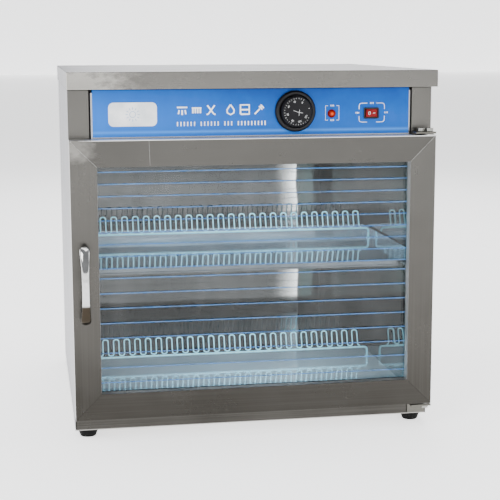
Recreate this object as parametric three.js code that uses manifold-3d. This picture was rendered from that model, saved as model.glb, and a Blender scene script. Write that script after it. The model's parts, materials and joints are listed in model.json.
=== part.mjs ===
// A two-tier ultraviolet sterilizer cabinet with one hinged glass door: folded stainless casing,
// mirror-finish chamber, wire racks, a timer panel over the door and the lamps and wiring inside.
// Millimetres, +X to the right, +Y to the back, +Z up. The origin is the middle of the footprint,
// on the surface that the feet stand on. Inside the group, y = 0 is the front skin of the casing.
import * as THREE from "three";
import { mergeVertices } from "three/addons/utils/BufferGeometryUtils.js";
import Module from "manifold-3d";

const wasm = await Module();
wasm.setup();

// ---- Driving dimensions ----
const width = 500; // casing, outside the side skins
const depth = 460; // casing, front skin to back skin
const bodyHigh = 467; // underside of the casing to underside of the lid's rim
const lidHigh = 23;
const footHigh = 12;
const gauge = 1; // every folded sheet
const rest = 0.1; // gap between pieces that rest on each other
const slip = 0.3; // gap between sheets that slide or pass each other
const doorProud = 25; // door face and lid rim stand this far in front of the casing
const doorGap = 2.5; // door back to casing front
const doorLift = 21; // underside of the casing to the door's lower edge
const fasciaHigh = 66; // from the door's upper edge to the lid's rim
const frameWide = 36; // door frame members
const reveal = 13; // door face to glass
const glassThick = 4;
const stileWide = 28; // casing stiles on both sides of the door opening
const stileReturn = 14;
const linerInset = 10; // chamber side wall behind the stile's inner edge
const linerBack = 285; // chamber depth behind the front skin
const chamberFloorHigh = 31; // above the underside of the casing
const lowerTierHigh = 191.7; // chamber floor to shelf
const ceilingDrop = 6; // chamber ceiling below the door's upper edge
const shelfInset = 3; // shelf edge from the chamber side wall
const shelfFront = 8;
const shelfRim = 13;
const shelfLip = 7.7; // turned-down front edge
const rackBack = 220; // rack line behind the front skin
const rackHigh = 15.5; // rail axis above the floor it stands on
const railRadius = 1.6;
const loopRadius = 1;
const loopPitch = 16.5;
const loopHigh = 25; // loop axis, bottom to top, along its lean
const loopLean = THREE.MathUtils.degToRad(20);
const lampLong = 330;
const lampRadius = 12.75;
const lampBack = 170; // lamp axis behind the front skin
const lampDrop = 20; // lamp axis below what its sockets hang from
const timerX = 57;
const timerDrop = 32; // dial below the lid's rim
const pilotX = 108;
const switchX = 164;
const controlDrop = 36; // pilot lamp and switch below the lid's rim
const knobRadius = 21.3;
const bezelRadius = 28;
const handleInset = 16.5; // handle from the door's left edge
const handleHigh = 209.5; // middle of the handle above the underside of the casing
const handleLong = 110;
const handleRise = 30;
const pivotInset = 6.5; // hinge axis from the door's edge
const pivotBack = 15; // hinge axis in front of the casing
const pinRadius = 3;
const running = 0.09; // radial clearance of a shaft in its bore
const plateThick = 2.5;
const glandLong = 15; // stands out behind the back panel

// ---- Places worked out from them ----
const base = footHigh;
const rimLow = base + bodyHigh;
const lidTop = rimLow + lidHigh;
const half = width / 2;
const doorFace = -doorProud;
const doorBack = -doorGap;
const doorThick = doorProud - doorGap;
const doorLow = base + doorLift;
const doorTop = rimLow - fasciaHigh;
const doorTall = doorTop - doorLow;
const glassFront = doorFace + reveal + rest;
const glassBack = glassFront + glassThick;
const stileInner = half - stileWide;
const linerSide = stileInner + linerInset;
const shelfHalf = linerSide - shelfInset;
const floorTop = base + chamberFloorHigh;
const shelfTop = floorTop + lowerTierHigh;
const ceiling = doorTop - ceilingDrop;
const backSkin = depth - gauge; // front face of the back panel
const linerFront = stileReturn + slip;
const pivotX = half - pivotInset;
const pivotY = -pivotBack;
const panelHalf = stileInner - 1.5;
const panelLow = ceiling + 2;
const panelTop = lidTop - gauge - slip;
const filmHalf = panelHalf - 3;
const filmLow = doorTop + 2;
const filmTop = rimLow - slip;
const filmFace = -0.6;
const timerZ = rimLow - timerDrop;
const controlZ = rimLow - controlDrop;
const handleX = handleInset - half;
const frontMost = doorFace - handleRise;
const backMost = depth + glandLong;
const middleY = (frontMost + backMost) / 2;

// ---- Finishes ----
const finish = (color, roughness, metalness) =>
  new THREE.MeshStandardMaterial({ color, roughness, metalness });
const satin = finish(0x8f8d86, 0.38, 1);
const sideSatin = finish(0xc9c9cc, 0.35, 1);
const mirror = finish(0xb9c0c6, 0.12, 1);
const chrome = finish(0xd9dadb, 0.08, 1);
const wireCoat = finish(0xbfe0ee, 0.3, 0.4);
const zinc = finish(0xa9a9a4, 0.45, 0.9);
const blueFilm = finish(0x4276bd, 0.35, 0);
const whiteFilm = finish(0xe4eaf0, 0.4, 0);
const black = finish(0x1a1a1b, 0.45, 0);
const darkGrey = finish(0x38383a, 0.5, 0);
const redLens = finish(0xc8201a, 0.15, 0);
const glass = finish(0xa9c2c6, 0.05, 0);
const lampGlass = finish(0xdfe6f5, 0.15, 0);
const rubber = finish(0x161616, 0.8, 0);
const nylon = finish(0xe8e6df, 0.5, 0);

// ---- Solid helpers ----
function solid(geometry) {
  const bare = geometry.index ? geometry.toNonIndexed() : geometry.clone();
  bare.deleteAttribute("normal");
  bare.deleteAttribute("uv");
  const merged = mergeVertices(bare, 1e-3);
  return new wasm.Manifold(
    new wasm.Mesh({
      numProp: 3,
      vertProperties: merged.attributes.position.array,
      triVerts: new Uint32Array(merged.index.array),
    })
  );
}

// Faces that a boolean split along a seam are merged again.
function geometryOf(body) {
  const mesh = body.asOriginal().simplify(1e-4).getMesh();
  const geometry = new THREE.BufferGeometry();
  geometry.setAttribute("position", new THREE.BufferAttribute(mesh.vertProperties.slice(), 3));
  geometry.setIndex(new THREE.BufferAttribute(mesh.triVerts.slice(), 1));
  return geometry;
}

const join = (first, ...others) =>
  geometryOf(others.reduce((sum, next) => sum.add(solid(next)), solid(first)));
const cut = (first, ...tools) =>
  geometryOf(tools.reduce((sum, tool) => sum.subtract(solid(tool)), solid(first)));
const common = (first, second) => geometryOf(solid(first).intersect(solid(second)));

// A block between two corners. Its faces lie exactly on the numbers given, so blocks share planes.
function block(x0, x1, y0, y1, z0, z1) {
  const box = new THREE.BoxGeometry();
  const place = box.getAttribute("position");
  const pick = (side, low, high) => (side < 0 ? low : high);
  for (let i = 0; i < place.count; i++)
    place.setXYZ(i, pick(place.getX(i), x0, x1), pick(place.getY(i), y0, y1), pick(place.getZ(i), z0, z1));
  return box;
}

// An outline drawn in plan (x, y), raised from z0 to z1.
function raised(outline, z0, z1, curveSegments = 6) {
  const drawn = () => new THREE.Shape(outline.map(([x, y]) => new THREE.Vector2(x, y)));
  const shape = outline instanceof THREE.Shape ? outline : drawn();
  const body = new THREE.ExtrudeGeometry(shape, { depth: z1 - z0, bevelEnabled: false, curveSegments });
  return body.translate(0, 0, z0);
}

// An outline drawn from the front (x, z), running back from y0 to y1.
function frontal(outline, y0, y1, curveSegments = 6) {
  return raised(outline, -y1, -y0, curveSegments).rotateX(Math.PI / 2);
}

// An outline drawn from the right-hand side (y, z), running from x0 to x1.
function lateral(outline, x0, x1, curveSegments = 6) {
  const body = raised(outline, x0, x1, curveSegments);
  return body.applyMatrix4(new THREE.Matrix4().set(0, 0, 1, 0, 1, 0, 0, 0, 0, 1, 0, 0, 0, 0, 0, 1));
}

// A round bar between two heights, and the same along x and y.
function uprightRod(radius, x, y, z0, z1, sides = 24) {
  const rod = new THREE.CylinderGeometry(radius, radius, z1 - z0, sides);
  return rod.rotateX(Math.PI / 2).translate(x, y, (z0 + z1) / 2);
}
function deepRod(radius, x, z, y0, y1, sides = 24) {
  const rod = new THREE.CylinderGeometry(radius, radius, y1 - y0, sides);
  return rod.translate(x, (y0 + y1) / 2, z);
}

// A turned piece: a profile of [radius, height], about +Z, or about -Y for what faces the front.
function turned(profile, sides = 32) {
  const points = profile.map(([r, h]) => new THREE.Vector2(r, h));
  return new THREE.LatheGeometry(points, sides).rotateX(Math.PI / 2);
}
const turnedToFront = (profile, sides = 32) => turned(profile, sides).rotateX(Math.PI / 2);

// A rectangle with round corners, about its middle.
function roundedRectangle(x, z, wide, tall, radius) {
  const [w, t] = [wide / 2 - radius, tall / 2 - radius];
  const shape = new THREE.Shape();
  shape.absarc(x + w, z + t, radius, 0, Math.PI / 2);
  shape.absarc(x - w, z + t, radius, Math.PI / 2, Math.PI);
  shape.absarc(x - w, z - t, radius, Math.PI, Math.PI * 1.5);
  shape.absarc(x + w, z - t, radius, Math.PI * 1.5, Math.PI * 2);
  return shape;
}

// A sheet folded along a path of right-angled corners; its thickness lies to the left of travel.
function foldedSheet(path) {
  const left = path.map(([x, y], i) => {
    const before = path[Math.max(i - 1, 0)];
    const after = path[Math.min(i + 1, path.length - 1)];
    const step = (a, b) => [Math.sign(b[0] - a[0]), Math.sign(b[1] - a[1])];
    const [inX, inY] = i > 0 ? step(before, path[i]) : [0, 0];
    const [outX, outY] = i < path.length - 1 ? step(path[i], after) : [0, 0];
    const [sx, sy] = [inX + outX, inY + outY];
    return [x - Math.sign(sy) * gauge, y + Math.sign(sx) * gauge];
  });
  return [...path, ...left.reverse()];
}

const mirrored = (outline) => outline.map(([x, y]) => [-x, y]);

// An open tray: a box of sheet without the side that faces +Z or -Z.
function tray(x0, x1, y0, y1, z0, z1, openUp) {
  const [low, high] = openUp ? [z0 + gauge, z1 + gauge] : [z0 - gauge, z1 - gauge];
  return cut(
    block(x0, x1, y0, y1, z0, z1),
    block(x0 + gauge, x1 - gauge, y0 + gauge, y1 - gauge, low, high)
  );
}

// A bent wire: the corners of its own centre line are the sections of the sweep.
class BentWire extends THREE.Curve {
  constructor(points) {
    super();
    this.points = points;
  }
  getPointAt(u, target = new THREE.Vector3()) {
    return target.copy(this.points[Math.round(u * (this.points.length - 1))]);
  }
  getTangentAt(u, target = new THREE.Vector3()) {
    const last = this.points.length - 1;
    const i = Math.round(u * last);
    const ahead = this.points[Math.min(i + 1, last)];
    return target.copy(ahead).sub(this.points[Math.max(i - 1, 0)]).normalize();
  }
  getSpacedPoints(divisions) {
    return Array.from({ length: divisions + 1 }, (_, i) => this.getPointAt(i / divisions));
  }
}

function wire(points, radius, sides) {
  const ring = Array.from({ length: sides }, (_, i) => {
    const angle = (i / sides) * 2 * Math.PI;
    return new THREE.Vector2(radius * Math.cos(angle), radius * Math.sin(angle));
  });
  const options = { steps: points.length - 1, extrudePath: new BentWire(points), bevelEnabled: false };
  return new THREE.ExtrudeGeometry(new THREE.Shape(ring), options);
}

// A polyline whose corners are rounded with arcs of short chords.
function roundedRoute(corners, radius, chords) {
  const route = [corners[0]];
  for (let i = 1; i < corners.length - 1; i++) {
    const into = corners[i - 1].clone().sub(corners[i]).setLength(radius).add(corners[i]);
    const away = corners[i + 1].clone().sub(corners[i]).setLength(radius).add(corners[i]);
    const bend = new THREE.QuadraticBezierCurve3(into, corners[i], away);
    route.push(...bend.getPoints(chords));
  }
  return [...route, corners[corners.length - 1]];
}

const root = new THREE.Group();
const model = new THREE.Group();
model.position.y = -middleY;
root.add(model);
function add(name, geometry, material) {
  const mesh = new THREE.Mesh(geometry, material);
  mesh.name = name;
  model.add(mesh);
}

// ---- Casing ----
function sidePanel(side) {
  const back = backSkin - slip;
  const path = [
    [-stileInner, stileReturn],
    [-stileInner, 0],
    [-half, 0],
    [-half, back],
    [-half + 14, back],
  ];
  const outline = foldedSheet(path.reverse());
  const skin = raised(side < 0 ? outline : mirrored(outline), base, lidTop - gauge - rest);
  const [x0, x1] = [half - gauge, stileInner - gauge].map((x) => side * x);
  const lipSpace = block(Math.min(x0, x1), Math.max(x0, x1), -1, stileReturn + 1, base - 1, doorLow - 1 + slip);
  return cut(skin, lipSpace);
}
add("side_panel_left", sidePanel(-1), sideSatin);
add("side_panel_right", sidePanel(1), sideSatin);

// Floor sheet of the casing: its front lip shows under the door.
const panHalf = half - gauge - slip;
const panBack = backSkin - slip - gauge - slip;
const panSideHigh = 12;
const pan = join(
  block(-panHalf, panHalf, 0, panBack, base, base + gauge),
  block(-panHalf, panHalf, 0, gauge, base, doorLow - 1),
  block(-panHalf, -panHalf + gauge, stileReturn + 2, panBack, base, base + panSideHigh),
  block(panHalf - gauge, panHalf, stileReturn + 2, panBack, base, base + panSideHigh),
  block(-panHalf, panHalf, panBack - gauge, panBack, base, base + panSideHigh)
);
add("bottom_pan", pan, satin);

// Lid: a cap over the casing that reaches forward over the door.
const lidHalf = half + gauge + slip;
const lidBack = depth + slip + gauge;
const lid = join(
  tray(-lidHalf, lidHalf, doorFace, lidBack, rimLow, lidTop, false),
  block(-lidHalf + gauge / 2, lidHalf - gauge / 2, doorFace + gauge / 2, -slip, rimLow, rimLow + gauge)
);
add("top_lid", lid, satin);

// Back sheet with two columns of louvre slots and the cord outlet.
const louvreLong = 90;
const louvreHigh = 6;
const louvrePitch = 16;
const louvreRows = 7;
const glandX = -170;
const glandZ = base + 60;
const glandShank = 7.8;
const louvreTop = rimLow - 60;
const louvres = [-110, 110].flatMap((x) =>
  Array.from({ length: louvreRows }, (_, row) => {
    const z = louvreTop - row * louvrePitch;
    return block(x - louvreLong / 2, x + louvreLong / 2, backSkin - 1, depth + 1, z, z + louvreHigh);
  })
);
const backHalf = half - slip;
const back = cut(
  block(-backHalf, backHalf, backSkin, depth, base, rimLow + lidHigh - 4),
  ...louvres,
  deepRod(glandShank + 0.3, glandX, glandZ, backSkin - 1, depth + 1)
);
add("back_panel", back, satin);

// Tapered rubber feet with a screw recess underneath.
const footTopRadius = 14.4;
const footBottomRadius = 10.6;
const footRecess = 5;
const foot = turned([
  [0, 4],
  [footRecess, 4],
  [footRecess, 0],
  [footBottomRadius, 0],
  [footTopRadius, footHigh - 2],
  [footTopRadius, footHigh - rest],
  [0, footHigh - rest],
], 28);
const footX = half - 18;
const footFront = 18;
const footBack = depth - 28;
for (const [side, x] of [["left", -footX], ["right", footX]])
  for (const [end, y] of [["front", footFront], ["rear", footBack]])
    add(`foot_${end}_${side}`, foot.clone().translate(x, y, 0), rubber);

// ---- Chamber ----
function linerSidePanel(side) {
  const path = [
    [-stileInner - slip, linerFront + gauge],
    [-linerSide, linerFront + gauge],
    [-linerSide, linerBack + gauge],
  ];
  const outline = foldedSheet(path);
  return raised(side < 0 ? outline : mirrored(outline), floorTop + rest, ceiling - rest);
}
add("liner_left", linerSidePanel(-1), mirror);
add("liner_right", linerSidePanel(1), mirror);

const railEnd = stileInner - 0.5; // rack rail legs, from the middle
const railHole = railRadius + 0.5;
const legHoles = (z) =>
  [-railEnd, railEnd].map((x) => uprightRod(railHole, x, rackBack, z - 3, z + 3, 16));

// Sheets that pass between the stiles are narrower there.
const insideHalf = linerSide - rest;
const passHalf = stileInner - slip;
const passBack = linerFront + gauge + slip;
const floorSheet = (halfWide, front, rear, low) =>
  join(
    block(-passHalf, passHalf, front, passBack + gauge, low, low + gauge),
    block(-halfWide, halfWide, passBack, rear, low, low + gauge)
  );
add("liner_back", block(-insideHalf, insideHalf, linerBack, linerBack + gauge, floorTop + rest, ceiling - rest), mirror);
const chamberBack = linerBack + gauge;
const linerOuter = linerSide + gauge;
const linerLip = 2; // front edge of the ceiling and the floor
add("liner_ceiling", floorSheet(linerOuter, linerLip, chamberBack, ceiling), mirror);
const chamberFloor = join(
  floorSheet(linerOuter, linerLip, chamberBack, floorTop - gauge),
  block(-passHalf, passHalf, linerLip, linerLip + gauge, doorLow + 1, floorTop)
);
add("chamber_floor", cut(chamberFloor, ...legHoles(floorTop)), mirror);

const shelfBack = linerBack - 3;
const shelfLow = shelfTop - gauge;
const lipHalf = shelfHalf - 23;
const shelf = join(
  floorSheet(shelfHalf, shelfFront, shelfBack, shelfLow),
  block(-shelfHalf, -shelfHalf + gauge, passBack, shelfBack, shelfLow, shelfTop + shelfRim),
  block(shelfHalf - gauge, shelfHalf, passBack, shelfBack, shelfLow, shelfTop + shelfRim),
  block(-shelfHalf, shelfHalf, shelfBack - gauge, shelfBack, shelfLow, shelfTop + shelfRim),
  block(-lipHalf, lipHalf, shelfFront, shelfFront + gauge, shelfTop - shelfLip, shelfTop)
);
add("middle_shelf", cut(shelf, ...legHoles(shelfTop)), mirror);

// Angle strips that carry the shelf, each with a tab turned down at its front end.
function shelfRest(side) {
  const top = shelfLow - rest;
  const inner = lipHalf + slip;
  const [wall, under] = [insideHalf, top - gauge];
  const strip = join(
    block(inner, passHalf, shelfFront, shelfBack, under, top),
    block(inner, wall, passBack, shelfBack, under, top),
    block(wall - gauge, wall, passBack, shelfBack, top - 14, top),
    block(inner, inner + 5.5, shelfFront, shelfFront + gauge, shelfTop - shelfLip, top)
  );
  const hole = uprightRod(railHole + 0.5, railEnd, rackBack, under - 1, top + 1, 16);
  const drilled = cut(strip, hole);
  return side > 0 ? drilled : geometryOf(solid(drilled).mirror([1, 0, 0]));
}
add("shelf_rest_left", shelfRest(-1), mirror);
add("shelf_rest_right", shelfRest(1), mirror);

// Wire racks: a straight rod with legs that drop into the floor, and a serpentine on top of it.
function rackRail(floor) {
  const corner = (x, z) => new THREE.Vector3(x, rackBack, z);
  const low = floor - 4;
  const high = floor + rackHigh;
  const corners = [corner(-railEnd, low), corner(-railEnd, high), corner(railEnd, high), corner(railEnd, low)];
  const rod = wire(roundedRoute(corners, 5, 4), railRadius, 10);
  const collars = [-railEnd, railEnd].map((x) =>
    uprightRod(railRadius + 1.6, x, rackBack, floor + rest, floor + rest + 1.4, 12)
  );
  return join(rod, ...collars);
}

function rackLoops(floor) {
  const bottom = floor + rackHigh + railRadius + loopRadius + slip;
  const leg = loopPitch / 2;
  const reach = 2 * (railEnd - 5);
  const count = Math.floor(reach / loopPitch);
  const start = (-count * loopPitch) / 2;
  const at = (x, along) =>
    new THREE.Vector3(x, rackBack + along * Math.sin(loopLean), bottom + along * Math.cos(loopLean));
  const corners = [at(start - 3, 0)];
  for (let i = 0; i < count; i++) {
    const x = start + i * loopPitch;
    corners.push(at(x, 0), at(x, loopHigh), at(x + leg, loopHigh), at(x + leg, 0));
  }
  corners.push(at(start + count * loopPitch - leg + 3, 0));
  const bend = leg / 2 - 0.05;
  return wire(roundedRoute(corners, bend, 3), loopRadius, 6);
}
for (const [tier, floor] of [["upper", shelfTop], ["lower", floorTop]]) {
  add(`${tier}_rack_rail`, rackRail(floor), wireCoat);
  add(`${tier}_rack_loops`, rackLoops(floor), wireCoat);
}

// ---- Controls ----
const bendRadius = 2.5;
const panelReturn = 12;
function panelOutline() {
  const shape = new THREE.Shape();
  const inner = bendRadius - gauge;
  shape.moveTo(-panelHalf, panelReturn);
  shape.absarc(-panelHalf + bendRadius, bendRadius, bendRadius, Math.PI, Math.PI * 1.5, false);
  shape.absarc(panelHalf - bendRadius, bendRadius, bendRadius, Math.PI * 1.5, Math.PI * 2, false);
  shape.lineTo(panelHalf, panelReturn);
  shape.lineTo(panelHalf - gauge, panelReturn);
  shape.absarc(panelHalf - bendRadius, bendRadius, inner, 0, -Math.PI / 2, true);
  shape.absarc(-panelHalf + bendRadius, bendRadius, inner, Math.PI * 1.5, Math.PI, true);
  shape.lineTo(-panelHalf + gauge, panelReturn);
  return shape;
}
const timerHole = 5.2;
const pilotHole = 5.2;
const switchHoleWide = 19.4;
const switchHoleTall = 13.4;
const controlHoles = (y0, y1) => [
  deepRod(timerHole, timerX, timerZ, y0, y1),
  deepRod(pilotHole, pilotX, controlZ, y0, y1),
  block(switchX - switchHoleWide / 2, switchX + switchHoleWide / 2, y0, y1,
    controlZ - switchHoleTall / 2, controlZ + switchHoleTall / 2),
];
const notch = 4.5;
const notchLow = rimLow - 5;
const fasciaPanel = join(
  raised(panelOutline(), panelLow, panelTop, 5),
  block(-panelHalf + bendRadius, panelHalf - bendRadius, gauge / 2, panelReturn, panelLow, panelLow + gauge)
);
const panel = cut(
  fasciaPanel,
  block(-panelHalf - 1, -panelHalf + notch, -1, panelReturn + 1, notchLow, panelTop + 1),
  block(panelHalf - notch, panelHalf + 1, -1, panelReturn + 1, notchLow, panelTop + 1),
  ...controlHoles(-1, gauge + 1)
);
add("control_panel", panel, satin);
add("fascia_film", cut(block(-filmHalf, filmHalf, filmFace + rest, -rest, filmLow, filmTop), ...controlHoles(-1, 1)), blueFilm);

const badgeX = -164;
const badgeZ = controlZ + 2;
add("badge_plate", frontal(roundedRectangle(badgeX, badgeZ, 65, 32, 7), filmFace - 0.5, filmFace, 5), whiteFilm);

// Spring-wound timer: its bush passes the panel, the knob's shaft turns in the bush.
const shaftRadius = 3;
const timerBody = cut(
  join(
    block(timerX - 24, timerX + 24, gauge + rest, gauge + 36, timerZ - 24, timerZ + 24),
    deepRod(timerHole - 0.3, timerX, timerZ, -1.6, gauge + 5)
  ),
  deepRod(shaftRadius + running, timerX, timerZ, -5, 9, 32)
);
add("timer_body", timerBody, zinc);

const bezelBore = knobRadius + 1;
const bezelHigh = 7;
const bezel = turnedToFront([
  [timerHole + 0.6, 0],
  [bezelRadius, 0],
  [bezelRadius, bezelHigh - 2.5],
  [bezelRadius - 2, bezelHigh],
  [bezelBore + 0.6, bezelHigh],
  [bezelBore, bezelHigh - 0.8],
  [bezelBore, 1],
  [timerHole + 0.6, 1],
  [timerHole + 0.6, 0],
], 48).translate(timerX, filmFace, timerZ);
add("timer_bezel", bezel, black);

const knobRise = 16.5;
const knobSeat = 2.2;
const knob = turnedToFront([
  [0, -7.5],
  [shaftRadius, -7.5],
  [shaftRadius, knobSeat],
  [knobRadius, knobSeat],
  [knobRadius - 0.4, knobRise - 2],
  [knobRadius - 2, knobRise],
  [0, knobRise],
], 48).translate(timerX, filmFace, timerZ);
add("timer_knob", knob, darkGrey);

const lensRadius = 5.75;
const pilotBody = turnedToFront([
  [0, -24],
  [pilotHole - 0.2, -24],
  [pilotHole - 0.2, -rest],
  [0, -rest],
], 24).translate(pilotX, filmFace, controlZ);
add("pilot_body", pilotBody, black);
const dome = [80, 60, 40, 20].map((a) => THREE.MathUtils.degToRad(90 - a));
const lens = turnedToFront([
  [0, 0],
  [lensRadius, 0],
  [lensRadius, 1.2],
  ...dome.map((a) => [lensRadius * Math.cos(a), 1.2 + 3 * Math.sin(a)]),
  [0, 4.2],
], 28).translate(pilotX, filmFace, controlZ);
add("pilot_lens", lens, redLens);

// Rocker switch: a snap-in body with the rocker on a cross pin in its well.
const switchWide = 21.3;
const switchTall = 15.2;
const rockerWide = 16.6;
const rockerTall = 10.6;
const rockerDeep = 6;
const wellWide = rockerWide + 1.4;
const wellTall = rockerTall + 0.8;
const wellFloor = 8;
const terminal = (x) => block(x - 2.4, x + 2.4, gauge + 19, gauge + 27, controlZ - 0.4, controlZ + 0.4);
const switchBody = cut(
  join(
    frontal(roundedRectangle(switchX, controlZ, switchWide, switchTall, 1.5), filmFace - 2.2, filmFace, 3),
    block(switchX - 9.4, switchX + 9.4, filmFace - 1, gauge + 20, controlZ - 6.4, controlZ + 6.4),
    terminal(switchX - 5),
    terminal(switchX + 5)
  ),
  block(switchX - wellWide / 2, switchX + wellWide / 2, filmFace - 5, wellFloor, controlZ - wellTall / 2, controlZ + wellTall / 2)
);
add("switch_body", switchBody, black);

const rockerTilt = THREE.MathUtils.degToRad(7);
const rockerPivot = 1.2; // behind the casing's front skin
const faceRise = 3.4;
const rockerOutline = [
  [-rockerWide / 2, -faceRise],
  [-rockerWide / 2 + 0.4, -faceRise - 0.5],
  [0, -faceRise + 0.7],
  [rockerWide / 2 - 0.4, -faceRise - 0.5],
  [rockerWide / 2, -faceRise],
  [rockerWide / 2 - 0.6, 0.6],
  [2.5, rockerDeep - 1],
  [-2.5, rockerDeep - 1],
  [-rockerWide / 2 + 0.6, 0.6],
];
const rocker = raised(rockerOutline, -rockerTall / 2, rockerTall / 2).rotateZ(rockerTilt);
add("switch_rocker", rocker.translate(switchX, rockerPivot, controlZ), redLens);

// ---- Door ----
// A frame member: a folded channel with mitred ends, u from its outer edge, v from its face.
const mitreGap = 0.15;
function member(length) {
  const [web, side, lip] = [frameWide, doorThick - gauge - rest, reveal];
  const section = [
    [0, 0], [web, 0], [web, lip], [web - gauge, lip], [web - gauge, gauge],
    [gauge, gauge], [gauge, side], [0, side],
  ];
  const body = raised(section, 0, length);
  const place = body.getAttribute("position");
  for (let i = 0; i < place.count; i++) {
    const u = place.getX(i) + mitreGap;
    place.setZ(i, place.getZ(i) > length / 2 ? length - u : u);
  }
  return body;
}
// Columns of each matrix: where u, v and the length run, then the corner it starts from.
const placed = (length, u, v, run, corner) =>
  member(length).applyMatrix4(new THREE.Matrix4().makeBasis(u, v, run).setPosition(corner));
const axis = (x, y, z) => new THREE.Vector3(x, y, z);
add("door_stile_left", placed(doorTall, axis(1, 0, 0), axis(0, 1, 0), axis(0, 0, 1), axis(-half, doorFace, doorLow)), satin);
add("door_stile_right", placed(doorTall, axis(-1, 0, 0), axis(0, 1, 0), axis(0, 0, -1), axis(half, doorFace, doorTop)), satin);

const bushHole = 5.3;
const pivotBore = (z) => uprightRod(bushHole, pivotX, pivotY, z - 4, z + 4, 32);
const topRail = placed(width, axis(0, 0, -1), axis(0, 1, 0), axis(1, 0, 0), axis(-half, doorFace, doorTop));
const bottomRail = placed(width, axis(0, 0, 1), axis(0, 1, 0), axis(-1, 0, 0), axis(half, doorFace, doorLow));
add("door_rail_top", cut(topRail, pivotBore(doorTop)), satin);
add("door_rail_bottom", cut(bottomRail, pivotBore(doorLow)), satin);

const windowHalf = half - frameWide;
const windowLow = doorLow + frameWide;
const windowTop = doorTop - frameWide;
const glassEdge = 8; // glass held behind the frame
add("door_glass",
  block(-windowHalf - glassEdge + 1, windowHalf + glassEdge - 1, glassFront, glassBack,
    windowLow - glassEdge + 1, windowTop + glassEdge - 1), glass);

// Inner frame: closes the channels and clamps the glass with a flange.
const clampOut = 2.5;
const clampIn = 1.5;
const rim = (inset, y0, y1) =>
  block(-windowHalf - inset, windowHalf + inset, y0, y1, windowLow - inset, windowTop + inset);
const glassFrame = cut(
  join(
    block(-half, half, doorBack - gauge, doorBack, doorLow, doorTop),
    rim(clampOut, glassBack + rest, doorBack)
  ),
  rim(clampIn, glassBack - 1, doorBack + 1)
);
add("glass_frame", glassFrame, satin);

// Rubber seal in the gap behind the door.
const sealWide = 4;
const sealHalf = stileInner + 6;
const sealLow = doorLow + 3.5;
const sealTop = doorTop - 1.5;
const sealFront = doorBack + rest;
const sealRing = (inset) =>
  block(-sealHalf + inset, sealHalf - inset, sealFront - (inset ? 1 : 0), -0.4 + (inset ? 1 : 0),
    sealLow + inset, sealTop - inset);
add("door_seal", cut(sealRing(0), sealRing(sealWide)), rubber);

// Bow handle: an arched strap, wide at its feet and waisted in the middle.
const handleZ = base + handleHigh;
const footThick = 8;
function bowSide() {
  const shape = new THREE.Shape();
  const [outer, inner] = [handleLong / 2, handleLong / 2 - footThick];
  shape.absellipse(doorFace - rest, handleZ, handleRise - rest, outer, Math.PI / 2, Math.PI * 1.5, false);
  shape.absellipse(doorFace - rest, handleZ, handleRise - 4.5, inner, Math.PI * 1.5, Math.PI / 2, true);
  return shape;
}
function bowFront() {
  const [end, waist, tip] = [7.6, 4.9, handleLong / 2];
  const shape = new THREE.Shape();
  shape.absellipse(handleX, handleZ + tip - end, end, end + 0.5, 0, Math.PI, false);
  shape.quadraticCurveTo(handleX - waist * 0.9, handleZ, handleX - end, handleZ - tip + end);
  shape.absellipse(handleX, handleZ - tip + end, end, end + 0.5, Math.PI, Math.PI * 2, false);
  shape.quadraticCurveTo(handleX + waist * 0.9, handleZ, handleX + end, handleZ + tip - end);
  return shape;
}
const bow = common(
  lateral(bowSide(), handleX - 10, handleX + 10, 14),
  frontal(bowFront(), frontMost - 1, doorFace, 7)
);
add("handle", bow, chrome);

const screwSpread = handleLong / 2 - footThick / 2;
for (const [end, z] of [["upper", handleZ + screwSpread], ["lower", handleZ - screwSpread]]) {
  const head = turned([[0, 0], [3.6, 0], [3.6, 1.2], [2.4, 2.4], [0, 2.4]], 20).rotateX(-Math.PI / 2);
  add(`handle_screw_${end}`, head.translate(handleX, doorFace + gauge + rest, z), zinc);
}

// Magnetic catch under the front of the ceiling and its strike on the door.
const catchX = -170;
const strikeBack = doorBack + rest + 1.1;
add("strike_plate", block(catchX - 20, catchX + 20, doorBack + rest, strikeBack, ceiling - 11, ceiling - 1), zinc);
add("magnet_catch", block(catchX - 22, catchX + 22, strikeBack + 0.6, 16, ceiling - 12, ceiling - rest), black);

// ---- Hinges: a plate on each stile with an upright pin in a bush in the door ----
const plateGap = 2; // door edge to plate
const plateLeft = stileInner;
const plateRight = half + 0.8;
const legLeft = stileInner + 7;
const legRight = pivotX - pivotInset;
const plateFront = doorFace + 2;
const pinHole = (z) => uprightRod(pinRadius + 0.2, pivotX, pivotY, z - 5, z + 5, 20);
const topPlateLow = doorTop + plateGap;
const topPlate = cut(
  join(
    block(plateLeft, plateRight, plateFront, -rest, topPlateLow, topPlateLow + plateThick),
    block(legLeft, legRight, doorBack + 0.4, -rest, doorTop - 16, topPlateLow + plateThick)
  ),
  pinHole(topPlateLow)
);
add("hinge_plate_top", topPlate, zinc);
const bottomPlateTop = doorLow - plateGap;
const bottomPlate = cut(
  join(
    block(plateLeft, plateRight, plateFront, -rest, bottomPlateTop - plateThick, bottomPlateTop),
    block(plateLeft, plateRight - 3, -plateThick, -rest, base + 2, bottomPlateTop)
  ),
  pinHole(bottomPlateTop)
);
add("hinge_plate_bottom", bottomPlate, zinc);

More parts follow.
